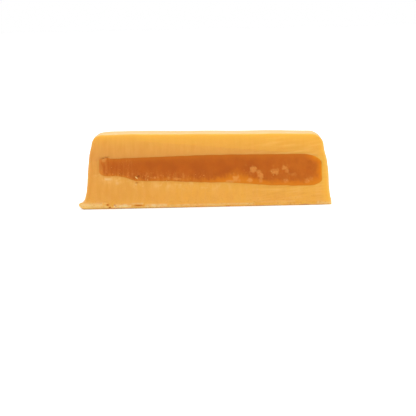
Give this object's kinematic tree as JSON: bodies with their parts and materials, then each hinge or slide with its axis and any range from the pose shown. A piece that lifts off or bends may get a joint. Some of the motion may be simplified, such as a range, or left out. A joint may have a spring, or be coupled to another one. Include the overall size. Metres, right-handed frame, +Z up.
{
  "type": "half of a filled fudge cube",
  "caption": "Half of a moulded fudge cube with a caramel filling, cut flat across and resting on its open-mould side.",
  "frame": {"origin": "on the table plane, under the middle of the piece's box", "axes": "+X along the cut, to the right as the cut face is looked at; +Y from the cut face into the piece; +Z up"},
  "size_m": [0.0508, 0.0254, 0.0148],
  "materials": {
    "fudge": "waxy satin, light caramel brown, paler towards its outer edges",
    "caramel": "dense satin, orange-brown, with paler sugary patches"
  },
  "bodies": {
    "root": {"fudge_shell": "fudge", "caramel_filling": "caramel"}
  },
  "joints": []
}
